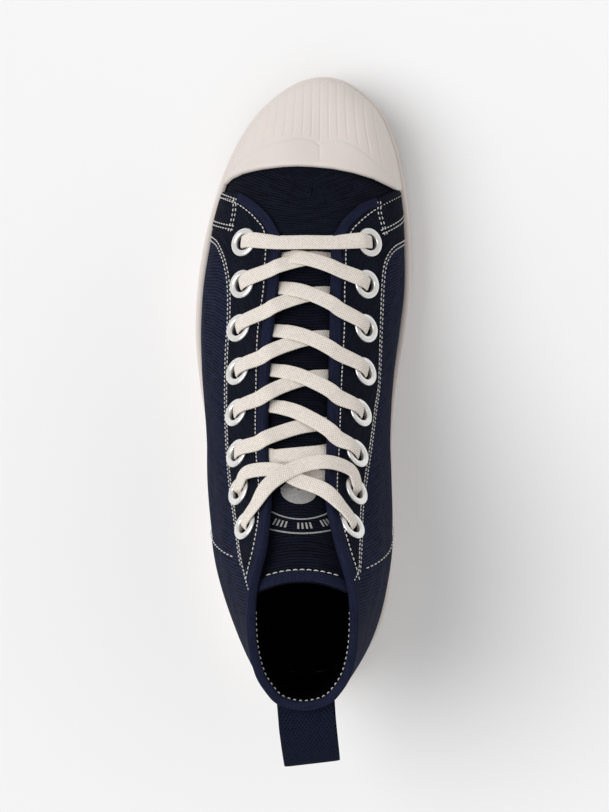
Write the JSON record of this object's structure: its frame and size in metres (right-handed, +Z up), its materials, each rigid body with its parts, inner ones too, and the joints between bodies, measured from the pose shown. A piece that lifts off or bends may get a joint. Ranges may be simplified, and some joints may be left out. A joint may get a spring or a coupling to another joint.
{
  "type": "canvas high-top sneaker",
  "caption": "Left high-top canvas sneaker: hollow canvas upper, rubber sole with sidewall band and fluted toe cap, tongue, footbed, flat lace through metal eyelets.",
  "frame": {"origin": "on the floor under the middle of the heel, on the tread, 32 mm in front of the heel's back", "axes": "+Y towards the toe, +X towards the inner side of the foot, +Z up"},
  "size_m": [0.0919, 0.284, 0.1325],
  "materials": {
    "outsole_rubber": "moulded cream rubber, satin",
    "sidewall_rubber": "calendered cream rubber band, satin",
    "toe_cap_rubber": "moulded cream rubber with fine flutes",
    "canvas": "navy cotton canvas, ribbed weave",
    "tongue_canvas": "dark navy cotton canvas",
    "insole_fabric": "near-black drill",
    "eyelet_metal": "bright rolled aluminium",
    "lace_cotton": "flat woven cotton, off-white",
    "loop_webbing": "dark navy twill webbing"
  },
  "bodies": {
    "root": {"outsole": "outsole_rubber", "foxing": "sidewall_rubber", "toe_cap": "toe_cap_rubber", "upper": "canvas", "tongue": "tongue_canvas", "insole": "insole_fabric", "eyelet_outer_1": "eyelet_metal", "eyelet_inner_1": "eyelet_metal", "eyelet_outer_2": "eyelet_metal", "eyelet_inner_2": "eyelet_metal", "eyelet_outer_3": "eyelet_metal", "eyelet_inner_3": "eyelet_metal", "eyelet_outer_4": "eyelet_metal", "eyelet_inner_4": "eyelet_metal", "eyelet_outer_5": "eyelet_metal", "eyelet_inner_5": "eyelet_metal", "eyelet_outer_6": "eyelet_metal", "eyelet_inner_6": "eyelet_metal", "eyelet_outer_7": "eyelet_metal", "eyelet_inner_7": "eyelet_metal", "eyelet_outer_8": "eyelet_metal", "eyelet_inner_8": "eyelet_metal", "lace_1": "lace_cotton", "lace_2": "lace_cotton", "lace_3": "lace_cotton", "lace_4": "lace_cotton", "lace_5": "lace_cotton", "lace_6": "lace_cotton", "lace_7": "lace_cotton", "lace_8": "lace_cotton", "pull_loop": "loop_webbing"}
  },
  "joints": []
}
